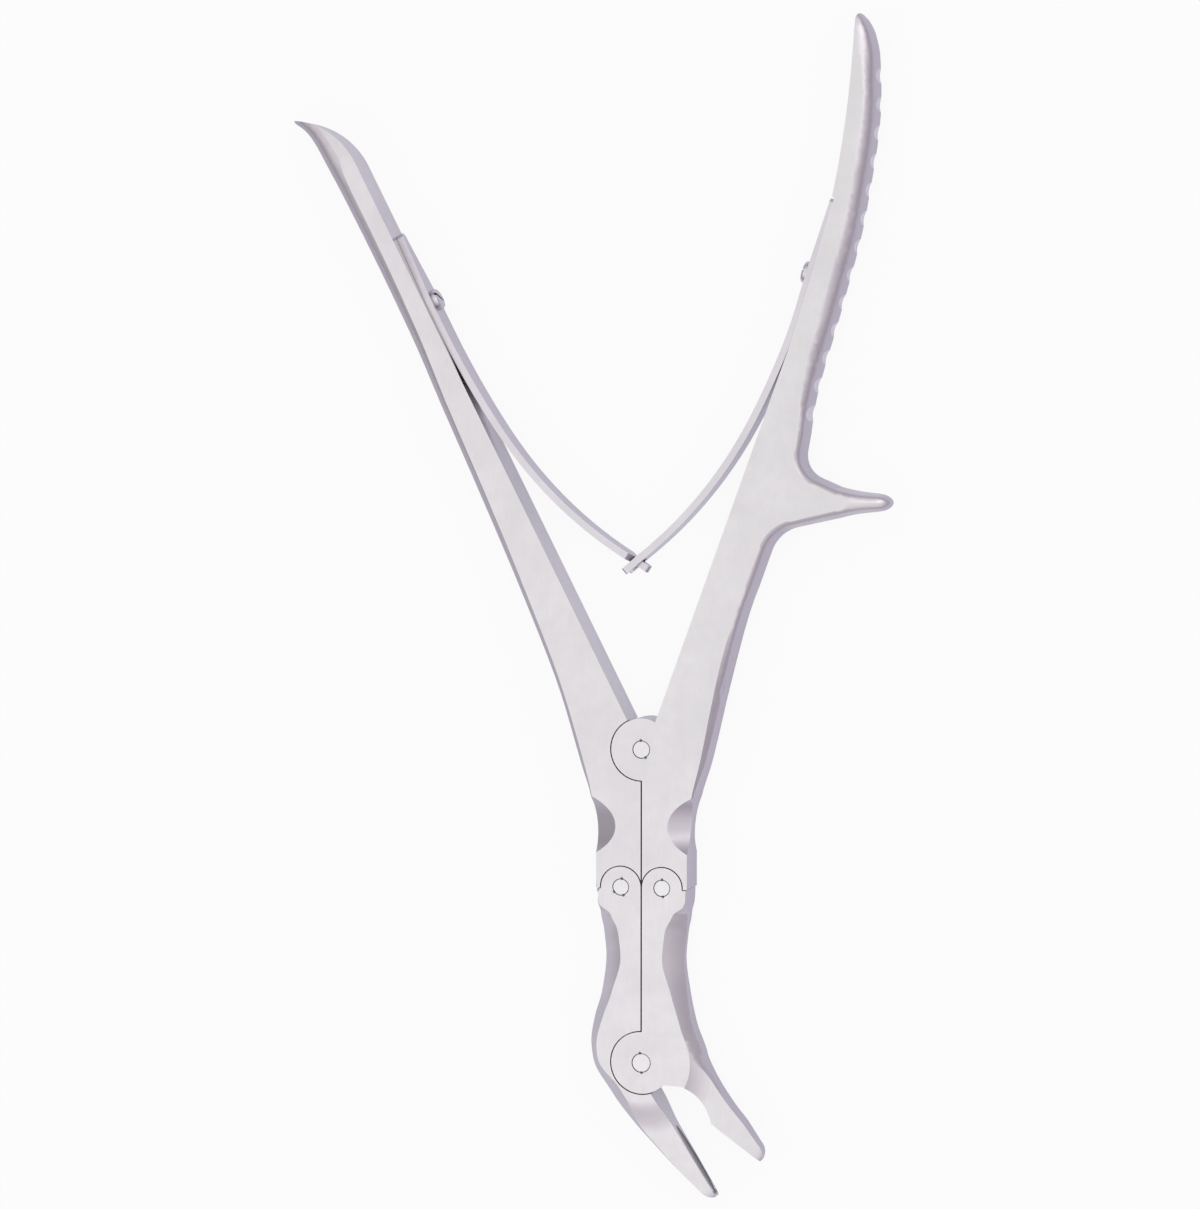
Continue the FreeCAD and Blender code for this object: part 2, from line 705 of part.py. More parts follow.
def left_jaw_blank():
    hip = size("jaw_hip_half_width")
    facet = size("jaw_facet")
    length = size("beak_length")
    knots = jaw_shank_sections(LEFT) + [
        level(LEFT, JAW_LEVEL + 8.6, hip - 0.5, 0.58 * facet, 0.58 * facet, 0.1),
        level(LEFT, JAW_LEVEL + 4.2, hip + 0.1, 0.45 * facet, 0.5 * facet, 0.1),
        level(LEFT, JAW_LEVEL + 0.2, hip - 0.4, 0.4 * facet, 0.45 * facet, 0.1, tilt=12.0),
    ] + beak_sections(left_rim, [
        (2.0, 7.75), (9.5, 6.9), (16.5, 5.4), (22.8, 3.95),
        (26.8, 3.1), (29.1, 2.2), (30.3, 1.3), (30.9, 0.5),
    ], 1.0)
    top = SHOULDER_LEVEL - size("shoulder_gap") / 2
    bottom = left_rim.point(length + 5, 0).y
    start = V(-HALF_GAP, top, 0)
    outside = V(-3 * hip, top, 0)
    outline = path([
        outside,
        start,
        meeting(start, V(0, 1, 0), left_rim.start, left_rim.along),
        left_rim.point(length + 5, 0),
        V(outside.x, bottom, 0),
        outside,
    ])
    return edge_bar(knots, 1.2, 0.5).common(plate(outline)).cut(beak_relief(215.0, 140.0, 3.0))


def right_jaw_blank():
    hip = size("jaw_hip_half_width")
    facet = size("jaw_facet")
    length = size("beak_length")
    knots = jaw_shank_sections(RIGHT) + [
        level(RIGHT, JAW_LEVEL + 8.0, hip - 0.8, 0.56 * facet, 0.58 * facet, 0.1),
        level(RIGHT, JAW_LEVEL + 3.0, hip + 1.1, 0.55 * facet, 0.6 * facet, 0.1, over=0.0, tilt=-18.0),
    ] + beak_sections(right_rim, [
        (10.0, 9.7), (14.0, 7.65), (19.7, 5.55), (24.2, 4.35),
        (28.0, 3.25), (30.0, 2.2), (30.9, 1.2), (31.3, 0.5),
    ], 0.0)
    top = SHOULDER_LEVEL - size("shoulder_gap") / 2
    arch_start = jaw_pivot + V(8.7, -4.6, 0)
    arch_middle = jaw_pivot + V(12.3, -8.0, 0)
    corner = right_rim.point(size("right_rim_start"), 0)
    beyond = right_rim.point(length + 5, 0)
    outside = V(4 * hip, top, 0)
    outline = path([
        outside,
        V(HALF_GAP, top, 0),
        V(HALF_GAP, JAW_LEVEL, 0),
        jaw_pivot + V(4.3, -4.4, 0),
        arch_start,
    ])
    outline.append(Part.Arc(arch_start, arch_middle, corner).toShape())
    outline += path([corner, beyond, V(outside.x, beyond.y, 0), outside])
    return edge_bar(knots, 1.2, 0.5).common(plate(outline)).cut(beak_relief(-100.0, 128.0, 0.0))


def cup(name, rim, length):
    """Hollow of the biting cup, sunk into the rim of a beak."""
    made = doc.addObject("Part::Ellipsoid", name)
    made.setExpression("Radius1", "Sizes.cup_width / 2 * 1 mm")
    made.setExpression("Radius2", "Sizes.%s / 2 * 1 mm" % length)
    made.setExpression("Radius3", "Sizes.cup_depth * 1 mm")
    middle = rim.point(size("beak_length") - size("cup_margin") - size(length) / 2, 0) + V(0, 0, MIDDLE)
    made.Placement = FreeCAD.Placement(middle, FreeCAD.Rotation(V(1, 0, 0), rim.along))
    return made


def build_left_jaw():
    blank = feature("left_jaw_blank", left_jaw_blank())
    body = cut("left_jaw_body", blank, ear_recesses("left_jaw_recess", jaw_pivot, "jaw"))
    joined = fuse("left_jaw_joined", [
        body,
        ear_disc("left_jaw_ears", LINK_PIVOT[LEFT], "link"),
        tongue_disc("left_jaw_tongue", jaw_pivot, "jaw"),
    ])
    return cut("left_jaw", joined, [
        tongue_slot("left_jaw_slot", LINK_PIVOT[LEFT], "link"),
        bore("left_jaw_link_bore", LINK_PIVOT[LEFT], "link", "pin_seat_clearance"),
        bore("left_jaw_bore", jaw_pivot, "jaw", "loop_clearance"),
        cup("left_jaw_cup", left_rim, "left_cup_length"),
    ])


def build_right_jaw():
    blank = feature("right_jaw_blank", right_jaw_blank())
    joined = fuse("right_jaw_joined", [
        blank,
        ear_disc("right_jaw_link_ears", LINK_PIVOT[RIGHT], "link"),
        ear_disc("right_jaw_ears", jaw_pivot, "jaw"),
    ])
    return cut("right_jaw", joined, [
        tongue_slot("right_jaw_link_slot", LINK_PIVOT[RIGHT], "link"),
        tongue_slot("right_jaw_slot", jaw_pivot, "jaw"),
        bore("right_jaw_link_bore", LINK_PIVOT[RIGHT], "link", "pin_seat_clearance"),
        bore("right_jaw_bore", jaw_pivot, "jaw", "pin_seat_clearance"),
        cup("right_jaw_cup", right_rim, "right_cup_length"),
    ])


# Pivot pins

def pin(name, centre, kind):
    """Pin that is flush with both faces and has a fine bevel at each end."""
    body = doc.addObject("PartDesign::Body", name)
    shaft = body.newObject("PartDesign::AdditiveCylinder", name + "_shaft")
    shaft.setExpression("Radius", "Sizes.%s_pin_radius * 1 mm" % kind)
    shaft.setExpression("Height", FULL_HEIGHT)
    doc.recompute()
    rims = [
        "Edge%d" % (number + 1)
        for number, edge in enumerate(shaft.Shape.Edges)
        if isinstance(edge.Curve, Part.Circle)
    ]
    ends = body.newObject("PartDesign::Chamfer", name + "_ends")
    ends.Base = (shaft, rims)
    ends.setExpression("Size", "Sizes.pin_edge * 1 mm")
    body.Tip = ends
    body.Placement.Base = centre
    return body


# Leaf springs and screws

def seat_point(side, u):
    """Point on a handle's spring seat, in the middle of the leaf's thickness."""
    lift = size("spring_thickness") / 2 + size("spring_clearance")
    return SEAT[side].point(u - size("seat_start"), -lift)


def leaf_section(middle, heading, width):
    """Rectangular section of a leaf at right angles to its heading."""
    half = size("spring_thickness") / 2
    side = V(-heading.y, heading.x, 0)
    side.normalize()
    corners = [
        middle + side * half + V(0, 0, MIDDLE - width / 2),
        middle + side * half + V(0, 0, MIDDLE + width / 2),
        middle - side * half + V(0, 0, MIDDLE + width / 2),
        middle - side * half + V(0, 0, MIDDLE - width / 2),
    ]
    return Part.Wire(path(corners + corners[:1]))


def flat_leaf(origin, heading, edges_of):
    """Flat piece of leaf: its outline is drawn with distance along the heading and height."""
    heading = V(heading.x, heading.y, 0)
    heading.normalize()
    half = size("spring_thickness") / 2
    across = V(-heading.y, heading.x, 0)

    def at(distance, height):
        return origin - across * half + heading * distance + V(0, 0, MIDDLE + height)

    face = Part.Face(Part.Wire(edges_of(at)))
    return face.extrude(across * 2 * half)


def pointed_root(at):
    """Outline of the seated part, which narrows to a rounded point at its top."""
    half = size("spring_root_width") / 2
    taper, radius = size("spring_point_length"), size("spring_point_radius")
    straight = size("spring_top") - size("spring_bend")
    reach = math.hypot(taper - radius, half)
    lean = math.atan2(half, taper - radius) - math.asin(radius / reach)
    touch = (radius - radius * math.sin(lean), radius * math.cos(lean))
    return path([
        at(touch[0], touch[1]), at(taper, half), at(straight, half),
        at(straight, -half), at(taper, -half), at(touch[0], -touch[1]),
    ]) + [Part.Arc(at(touch[0], -touch[1]), at(0, 0), at(touch[0], touch[1])).toShape()]


def tongue_end(at):
    """Outline of a free end that narrows to one rounded tongue."""
    half, tongue = size("spring_end_width") / 2, size("tongue_width") / 2
    length = size("tongue_length")
    shoulder = half - tongue
    return path([
        at(length - tongue, -tongue), at(shoulder, -tongue), at(0, -half),
        at(0, half), at(shoulder, tongue), at(length - tongue, tongue),
    ]) + [Part.Arc(at(length - tongue, tongue), at(length, 0), at(length - tongue, -tongue)).toShape()]


def fork_end(at):
    """Outline of a free end that splits into two rounded tines."""
    half, slot = size("spring_end_width") / 2, size("fork_slot_width") / 2
    length = size("tongue_length")
    tine = (half - slot) / 2
    middle = half - tine
    tip = length - tine
    return path([at(0, -half), at(0, half), at(tip, half)]) + [
        Part.Arc(at(tip, half), at(length, middle), at(tip, slot)).toShape(),
        line(at(tip, slot), at(slot, slot)),
        Part.Arc(at(slot, slot), at(0.15 * slot, 0), at(slot, -slot)).toShape(),
        line(at(slot, -slot), at(tip, -slot)),
        Part.Arc(at(tip, -slot), at(length, -middle), at(tip, -half)).toShape(),
        line(at(tip, -half), at(0, -half)),
    ]


def leaf(side, axis, end_outline):
    """Leaf spring: a flat seated root, a sprung curve and a flat free end."""
    root_width, end_width = size("spring_root_width"), size("spring_end_width")
    top, bend = seat_point(side, size("spring_top")), seat_point(side, size("spring_bend"))
    sprung = [(80.0, 1.35), (66.0, 3.1), (53.0, 6.6), (42.0, 11.4), (36.5, 14.5)]
    points = [bend] + [axis.point(u, -lift) for u, lift in sprung]
    curve = Part.BSplineCurve()
    curve.interpolate(Points=points, InitialTangent=(bend - top), FinalTangent=points[-1] - points[-2])
    first, last = curve.FirstParameter, curve.LastParameter
    steps = 6
    sections = []
    for step in range(steps + 1):
        share = step / steps
        at = first + share * (last - first)
        width = root_width + share * (end_width - root_width)
        sections.append(leaf_section(curve.value(at), curve.tangent(at)[0], width))
    root = flat_leaf(top, bend - top, pointed_root)
    end = flat_leaf(curve.value(last), curve.tangent(last)[0], end_outline)
    return loft(sections).fuse([root, end]).removeSplitter()


def screw_frame(side):
    """Foot of the screw in the middle of the leaf's thickness, and the direction in which its head stands."""
    foot = seat_point(side, size("screw_place")) + V(0, 0, MIDDLE)
    return foot, SEAT[side].out * -1


def screw_hole(name, side):
    foot, stand = screw_frame(side)
    made = doc.addObject("Part::Cylinder", name)
    made.setExpression("Radius", "(Sizes.screw_shank_radius + Sizes.pin_seat_clearance) * 1 mm")
    made.setExpression("Height", "(Sizes.screw_length + Sizes.spring_thickness) * 1 mm")
    depth = size("screw_length") + size("spring_clearance")
    made.Placement = FreeCAD.Placement(foot - stand * depth, FreeCAD.Rotation(V(0, 0, 1), stand))
    return made


def build_spring(name, side, axis, end_outline):
    blank = feature(name + "_leaf", leaf(side, axis, end_outline))
    return cut(name, blank, [screw_hole(name + "_hole", side)])


HEAD_SEAT = "Sizes.screw_length + Sizes.spring_thickness / 2 + Sizes.spring_clearance"


def build_screw(name, side):
    """Slotted screw that holds a spring to its handle."""
    foot, stand = screw_frame(side)
    body = doc.addObject("PartDesign::Body", name)
    shank = body.newObject("PartDesign::AdditiveCylinder", name + "_shank")
    shank.setExpression("Radius", "Sizes.screw_shank_radius * 1 mm")
    shank.setExpression("Height", "(%s) * 1 mm" % HEAD_SEAT)
    doc.recompute()
    head = body.newObject("PartDesign::AdditiveCylinder", name + "_head")
    head.setExpression("Radius", "Sizes.screw_head_radius * 1 mm")
    head.setExpression("Height", "Sizes.screw_head_height * 1 mm")
    head.setExpression("Placement.Base.z", "(%s) * 1 mm" % HEAD_SEAT)
    doc.recompute()
    top = max(edge.BoundBox.ZMax for edge in head.Shape.Edges)
    rim = [
        "Edge%d" % (number + 1)
        for number, edge in enumerate(head.Shape.Edges)
        if isinstance(edge.Curve, Part.Circle) and abs(edge.BoundBox.ZMin - top) < 1e-6
    ]
    dome = body.newObject("PartDesign::Fillet", name + "_dome")
    dome.Base = (head, rim)
    dome.setExpression("Radius", "Sizes.screw_head_height / 2 * 1 mm")
    doc.recompute()
    slot = body.newObject("PartDesign::SubtractiveBox", name + "_slot")
    slot.setExpression("Length", "Sizes.screw_head_radius * 4 * 1 mm")
    slot.setExpression("Width", "Sizes.screw_slot_width * 1 mm")
    slot.setExpression("Height", "Sizes.screw_slot_depth * 2 * 1 mm")
    slot.setExpression("Placement.Base.x", "-Sizes.screw_head_radius * 2 * 1 mm")
    slot.setExpression("Placement.Base.y", "-Sizes.screw_slot_width / 2 * 1 mm")
    slot.setExpression(
        "Placement.Base.z", "(%s + Sizes.screw_head_height - Sizes.screw_slot_depth) * 1 mm" % HEAD_SEAT)
    body.Tip = slot
    body.Placement = FreeCAD.Placement(foot - stand * size("screw_length"), FreeCAD.Rotation(V(0, 0, 1), stand))
    return body


nodes = {
    "left_handle": build_left_handle(),
    "right_handle": build_right_handle(),
    "left_jaw": build_left_jaw(),
    "right_jaw": build_right_jaw(),
    "handle_pivot_pin": pin("handle_pivot_pin", HANDLE_PIVOT, "handle"),
    "left_link_pin": pin("left_link_pin", LINK_PIVOT[LEFT], "link"),
    "right_link_pin": pin("right_link_pin", LINK_PIVOT[RIGHT], "link"),
    "jaw_pivot_pin": pin("jaw_pivot_pin", jaw_pivot, "jaw"),
    "left_spring": build_spring("left_spring", LEFT, left_axis, tongue_end),
    "right_spring": build_spring("right_spring", RIGHT, right_axis, fork_end),
    "left_spring_screw": build_screw("left_spring_screw", LEFT),
    "right_spring_screw": build_screw("right_spring_screw", RIGHT),
}
doc.recompute()

# Nothing is written unless every object and every sub-part is sound
for made in doc.Objects:
    if "Invalid" in made.State or "Error" in made.State:
        raise RuntimeError("%s failed: %s" % (made.Label, made.State))
for name, made in nodes.items():
    if made.Shape.isNull() or not made.Shape.isValid() or not made.Shape.Solids:
        raise RuntimeError("%s has no sound shape" % name)
    if len(made.Shape.Solids) != 1:
        raise RuntimeError("%s is %d solids" % (name, len(made.Shape.Solids)))

os.makedirs("parts", exist_ok=True)
for name, made in nodes.items():
    made.Label = name
    made.Shape.exportStep("parts/%s.step" % name)
    box = made.Shape.BoundBox
    print("%-20s volume %8.1f  x %6.1f %6.1f  y %6.1f %6.1f  z %5.2f %5.2f" % (
        name, made.Shape.Volume, box.XMin, box.XMax, box.YMin, box.YMax, box.ZMin, box.ZMax))
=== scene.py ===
import math

import bmesh
import bpy
from mathutils import Matrix, Vector
from mathutils.bvhtree import BVHTree
from mathutils.geometry import convex_hull_2d


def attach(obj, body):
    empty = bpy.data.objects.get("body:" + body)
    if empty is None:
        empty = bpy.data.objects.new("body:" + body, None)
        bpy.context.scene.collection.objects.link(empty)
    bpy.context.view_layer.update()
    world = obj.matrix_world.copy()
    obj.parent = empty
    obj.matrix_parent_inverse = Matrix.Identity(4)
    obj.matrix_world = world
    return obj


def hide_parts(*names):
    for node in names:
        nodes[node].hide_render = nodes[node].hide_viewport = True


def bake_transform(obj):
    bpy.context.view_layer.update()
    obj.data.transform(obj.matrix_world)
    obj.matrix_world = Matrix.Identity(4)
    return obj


# Looks of the bone rongeur: satin steel, polished leaves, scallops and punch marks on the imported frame
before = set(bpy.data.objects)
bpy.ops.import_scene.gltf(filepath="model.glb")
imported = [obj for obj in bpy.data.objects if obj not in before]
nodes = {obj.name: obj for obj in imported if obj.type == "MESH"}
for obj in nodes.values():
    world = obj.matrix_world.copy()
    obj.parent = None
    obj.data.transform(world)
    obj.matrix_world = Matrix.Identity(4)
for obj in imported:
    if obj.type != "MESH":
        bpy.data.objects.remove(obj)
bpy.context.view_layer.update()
scene = bpy.context.scene
scene.view_settings.view_transform = "Standard"

MM = 0.001
UP = Vector((0, 0, 1))
FRONT = 8.5 * MM
MIDDLE = FRONT / 2
WELD = 0.001 * MM
TRIM = 0.0001 * MM
SMOOTH_BELOW = math.radians(28.0)

# Camera: image size, focal length and the spot of the handle pivot's front, all in pixels
IMAGE_WIDTH, IMAGE_HEIGHT = 1200, 1209
FOCAL_LENGTH = 3952.6
PIVOT_ACROSS, PIVOT_DOWN = 641.3, 749.6
CAMERA_TURN = math.radians(15.3)
CAMERA_LIFT = math.radians(3.0)
CAMERA_DISTANCE = 0.8
SENSOR_HEIGHT = 36.0

# Pivots of the linkage
HANDLE_PIVOT = Vector((0, 0, 0)) * MM
LEFT_LINK = Vector((-4.3, -28.1, 0)) * MM
RIGHT_LINK = Vector((4.3, -28.1, 0)) * MM
JAW_PIVOT = Vector((0, -63.9, 0)) * MM

# Punch marks on the rims of the pivots: the pivot, the circle they lie on and their angles in degrees
PUNCH_MARKS = [
    (HANDLE_PIVOT, 1.85 * MM, (94, -62)),
    (LEFT_LINK, 1.75 * MM, (83, -72, -144)),
    (RIGHT_LINK, 1.75 * MM, (89, -83)),
    (JAW_PIVOT, 2.0 * MM, (98, -89)),
]
PUNCH_RADIUS = 0.34 * MM
PUNCH_DEPTH = 0.22 * MM

# Handles: the lean of their axes, then the bend of the right grip and the scallops on its outer side
LEFT_LEAN = math.radians(-27.0)
RIGHT_LEAN = math.radians(20.0)
AXIS_OFFSET = 0.85 * MM
BEND_START = 88.0 * MM
BEND_RADIUS = 210.0 * MM
FLANK_DISTANCE = 6.5 * MM
CAST_DISTANCE = 40.0 * MM
GRIP_END = 153.2 * MM
SCALLOP_COUNT = 13
SCALLOP_PITCH = 5.7 * MM
SCALLOP_TOP = 9.2 * MM
SCALLOP_RADIUS = 2.3 * MM
SCALLOP_DEPTH = 0.6 * MM

# Leaf springs: where each leaves its straight foot, where they cross, and how much of that way is sliced fine
LEFT_BEND = Vector((-42.0, 84.1, 4.25)) * MM
RIGHT_BEND = Vector((32.0, 88.6, 4.25)) * MM
CROSSING = Vector((-1.0, 38.4, 4.25)) * MM
LEAF_SLICE = 1.5 * MM
LEAF_SLICED_SHARE = 1.15

# Beaks: the biting line beside the jaw pivot, the tips that taper along it, and the cups sunk into it
RIM_OFFSET = 1.6 * MM
BEAK_LENGTH = 31.0 * MM
TIP_OVERLAP = 0.05 * MM
TIP_HEIGHT_SHARE = 0.8
TIP_NARROWING = 0.12
TIP_THINNING = 0.25
TIP_ANGLES = (12, 24, 36, 48, 58, 67, 75, 82, 87)
CUP_HALF_WIDTH = 1.6 * MM
CUP_DEPTH = 1.9 * MM
CUP_MARGIN = 0.8 * MM
CUP_PAINT_REACH = 1.03

# Steel: noise scales per metre, depths of grain and painted edge highlight, and colours of painted highlight
# and shade
LINE_SCALE, LINE_STRETCH = 5200.0, 0.035
GRIT_SCALE = 9000.0
SMEAR_SCALE = 420.0
CLOUD_SCALE = 90.0
GRAIN_DEPTH = 0.03 * MM
EDGE_RADIUS = 0.22 * MM
CREVICE_REACH = 1.2 * MM
# Light colour of the painted highlight on edges
EDGE_HIGHLIGHT_COLOR = (0.92, 0.91, 0.93)
# Dark colour of the painted shade in crevices
CREVICE_SHADE_COLOR = (0.16, 0.15, 0.16)
# Dark colour of the painted shade in the punch marks
PUNCH_SHADE_COLOR = (0.2, 0.19, 0.2)
SATIN = (0.748, 0.735, 0.743)
# Colours of the painted shade on the side flanks, darker on the left
RIGHT_FLANK_SHADE = (0.65, 0.615, 0.66)
LEFT_FLANK_SHADE = (0.54, 0.52, 0.55)

# Studio: half the floor's width, its drop under the part, the sky's colours by height, and the lamps by
# name, spot, size and power
FLOOR_REACH = 3.0
FLOOR_DROP = 0.3 * MM
SKY_STOPS = [
    (0.0, (0.35, 0.32, 0.36)),
    (0.3, (0.52, 0.475, 0.53)),
    (0.6, (0.78, 0.725, 0.79)),
    (0.85, (0.95, 0.91, 0.95)),
    (1.0, (1.0, 1.0, 1.0)),
]
LAMPS = [
    ("key", (0.9, 0.7, 1.3), 0.9, 1.6),
    ("fill", (-0.8, -0.5, 1.4), 1.0, 0.7),
]


def placed(name, data):
    """New object in the scene around a mesh, a lamp or a camera."""
    obj = bpy.data.objects.new(name, data)
    scene.collection.objects.link(obj)
    return obj


def place_camera():
    """Camera at the photograph's viewing angle."""
    level = math.cos(CAMERA_LIFT)
    back = Vector((math.sin(CAMERA_TURN) * level, math.sin(CAMERA_LIFT), math.cos(CAMERA_TURN) * level))
    right = Vector((math.cos(CAMERA_TURN), 0, -math.sin(CAMERA_TURN)))
    up = back.cross(right)
    across = (PIVOT_ACROSS - IMAGE_WIDTH / 2) / FOCAL_LENGTH
    above = (IMAGE_HEIGHT / 2 - PIVOT_DOWN) / FOCAL_LENGTH
    spot = HANDLE_PIVOT + UP * FRONT - CAMERA_DISTANCE * (across * right + above * up - back)
    lens = bpy.data.cameras.new("camera")
    lens.sensor_fit = "VERTICAL"
    lens.sensor_height = SENSOR_HEIGHT
    lens.lens = FOCAL_LENGTH / IMAGE_HEIGHT * SENSOR_HEIGHT
    lens.clip_start = 0.01
    lens.clip_end = 20.0
    camera = placed("camera", lens)
    camera.matrix_world = Matrix.Translation(spot) @ Matrix((right, up, back)).transposed().to_4x4()
    bpy.context.scene.camera = camera


class Nodes:
    """Small helper that adds and joins shader nodes in one tree."""

    def __init__(self, tree):
        self.tree = tree
        tree.nodes.clear()

    def add(self, kind, settings=None, **inputs):
        made = self.tree.nodes.new("ShaderNode" + kind)
        for key, value in (settings or {}).items():
            setattr(made, key, value)
        for key, value in inputs.items():
            self.put(made.inputs[key.replace("_", " ")], value)
        return made

    def put(self, socket, value):
        if isinstance(value, bpy.types.NodeSocket):
            self.tree.links.new(value, socket)
        else:
            socket.default_value = value

    def math(self, operation, first, second=0.0, clamp=False):
        made = self.tree.nodes.new("ShaderNodeMath")
        made.operation = operation
        made.use_clamp = clamp
        self.put(made.inputs[0], first)
        self.put(made.inputs[1], second)
        return made.outputs[0]

    def times(self, first, second):
        return self.math("MULTIPLY", first, second)

    def sway(self, noise, amount):
        """A noise as a change up and down from nothing."""
        return self.times(self.math("SUBTRACT", noise, 0.5), amount)

    def measure(self, operation, first, second):
        made = self.tree.nodes.new("ShaderNodeVectorMath")
        made.operation = operation
        self.put(made.inputs[0], first)
        self.put(made.inputs[1], second)
        return made.outputs["Value"]

    def ramp(self, value, low, high, to_low=0.0, to_high=1.0, smooth=True):
        made = self.tree.nodes.new("ShaderNodeMapRange")
        made.interpolation_type = "SMOOTHSTEP" if smooth else "LINEAR"
        for socket, number in zip(made.inputs[:5], (value, low, high, to_low, to_high)):
            self.put(socket, number)
        return made.outputs[0]

    def mix(self, share, first, second):
        made = self.tree.nodes.new("ShaderNodeMix")
        made.data_type = "RGBA"
        self.put(made.inputs[0], share)
        self.put(made.inputs[6], first)
        self.put(made.inputs[7], second)
        return made.outputs[2]

    def blend_shaders(self, share, first, second):
        made = self.tree.nodes.new("ShaderNodeMixShader")
        for socket, value in zip(made.inputs, (share, first, second)):
            self.put(socket, value)
        return made.outputs[0]

    def noise(self, where, scale, detail, rough):
        made = self.add("TexNoise", Vector=where, Scale=scale, Detail=detail, Roughness=rough)
        return made.outputs["Fac"]


def shaded(color, share=1.0):
    """A colour made darker or brighter, with full opacity."""
    return (*(min(1.0, share * part) for part in color), 1.0)


def grinding(n, where, lean):
    """Grinding lines along a lean, a satin grit, and small and large changes of tone."""
    turned = n.add("Mapping", Vector=where, Rotation=(0, 0, lean), Scale=(1.0, LINE_STRETCH, 1.0)).outputs[0]
    lines = n.noise(turned, LINE_SCALE, 3.0, 0.6)
    grit = n.noise(where, GRIT_SCALE, 2.0, 0.6)
    smear = n.noise(where, SMEAR_SCALE, 4.0, 0.6)
    cloud = n.noise(where, CLOUD_SCALE, 3.0, 0.55)
    return lines, grit, smear, cloud


def edge_highlight_share(n):
    """Share of the painted highlight on an edge, where the rounded normal leaves the face's own."""
    own = n.add("NewGeometry").outputs["Normal"]
    rounded = n.add("Bevel", {"samples": 6}, Radius=EDGE_RADIUS).outputs[0]
    return n.ramp(n.measure("DOT_PRODUCT", rounded, own), 0.995, 0.93)


def crevice_shade(n):
    """Share of the painted shade in a crevice that little light reaches."""
    open_air = n.add("AmbientOcclusion", {"samples": 8}, Distance=CREVICE_REACH).outputs["AO"]
    return n.ramp(open_air, 0.25, 0.8, 1.0, 0.0)


def flank_shade_share(n, sideways, upright, side, roll):
    """Share of the painted shade on the flank that looks to one side, up to where it rolls over into the
    front.
    """
    return n.times(n.ramp(n.times(sideways, side), 0.1, 0.5), n.ramp(upright, roll, roll - 0.4))


def punch_distance(n, where):
    """Distance to the nearest punch mark."""
    nearest = None
    for pivot, circle, angles in PUNCH_MARKS:
        for angle in map(math.radians, angles):
            spot = pivot + Vector((circle * math.cos(angle), circle * math.sin(angle), FRONT))
            gap = n.measure("DISTANCE", where, spot)
            nearest = gap if nearest is None else n.math("MINIMUM", nearest, gap)
    return nearest


def punched_in(n, where, tone, bump):
    """Tone and bump with the punch marks in them: bowls with a raised lip, their dark colour painted shade.
    """
    gap = punch_distance(n, where)
    bowl = n.ramp(gap, 0.0, PUNCH_RADIUS)
    lip = n.times(
        n.ramp(gap, PUNCH_RADIUS, 0.75 * PUNCH_RADIUS), n.ramp(gap, 0.8 * PUNCH_RADIUS, PUNCH_RADIUS))
    crater = n.math("ADD", bowl, n.times(lip, 0.3))
    bump = n.add("Bump", Strength=1.0, Distance=PUNCH_DEPTH, Height=crater, Normal=bump).outputs[0]
    # Painted shade in each bowl
    shadow = n.ramp(gap, 0.45 * PUNCH_RADIUS, 1.05 * PUNCH_RADIUS, 0.5, 0.0)
    return n.mix(shadow, tone, shaded(PUNCH_SHADE_COLOR)), bump


def steel(name, color, satin, polish, lean=0.0, grain=1.0, punched=False, flank=None, side=1, roll=0.78,
          highlight_strength=0.22):
    """Ground steel, as rough as satin on the flats and as polish on the sides, with a painted highlight on
    the edges, painted shade in crevices and on a given flank.
    """
    material = bpy.data.materials.new(name)
    material.use_nodes = True
    n = Nodes(material.node_tree)
    place = n.add("TexCoord")
    where = place.outputs["Object"]
    facing = n.add("SeparateXYZ", Vector=place.outputs["Normal"])
    upright = n.math("ABSOLUTE", facing.outputs[2])
    flat = n.ramp(upright, 0.35, 0.8)
    lines, grit, smear, cloud = grinding(n, where, lean)
    edge = edge_highlight_share(n)

    tone = n.mix(n.ramp(cloud, 0.3, 0.7), shaded(color, 0.975), shaded(color, 1.04))
    tone = n.mix(n.ramp(smear, 0.35, 0.75, 0.0, 0.35), tone, shaded(color, 0.93))
    tone = n.mix(n.times(n.ramp(lines, 0.35, 0.7), 0.16 * grain), tone, shaded(color, 0.86))
    # Painted shade on the flank that looks to the side, where a flank colour is given
    if flank:
        outer = flank_shade_share(n, facing.outputs[0], upright, side, roll)
        tone = n.mix(outer, tone, shaded(flank))
        flat = n.math("MAXIMUM", flat, n.times(outer, 0.8))
    # Painted highlight: the edges are lightened where the rounded normal turns away
    tone = n.mix(n.times(edge, highlight_strength), tone, shaded(EDGE_HIGHLIGHT_COLOR))
    # Painted shade darkens the crevices that ambient occlusion finds
    tone = n.mix(n.times(crevice_shade(n), 0.55), tone, shaded(CREVICE_SHADE_COLOR))

    rough = n.math("ADD", n.ramp(flat, 0.0, 1.0, polish, satin, smooth=False), n.sway(smear, 0.09))
    rough = n.math("ADD", rough, n.sway(lines, 0.10 * grain))
    rough = n.math("SUBTRACT", rough, n.times(edge, 0.08), clamp=True)

    height = n.math("ADD", n.times(lines, 0.7), n.times(grit, 0.5))
    bump = n.add("Bump", Strength=0.22 * grain, Distance=GRAIN_DEPTH, Height=height).outputs[0]
    if punched:
        tone, bump = punched_in(n, where, tone, bump)
    shader = n.add("BsdfPrincipled", Base_Color=tone, Metallic=1.0, Roughness=rough, Normal=bump)
    n.add("OutputMaterial", Surface=shader.outputs[0])
    return material


def dress(obj, material):
    """Give the whole of an object one material."""
    obj.data.materials.clear()
    obj.data.materials.append(material)


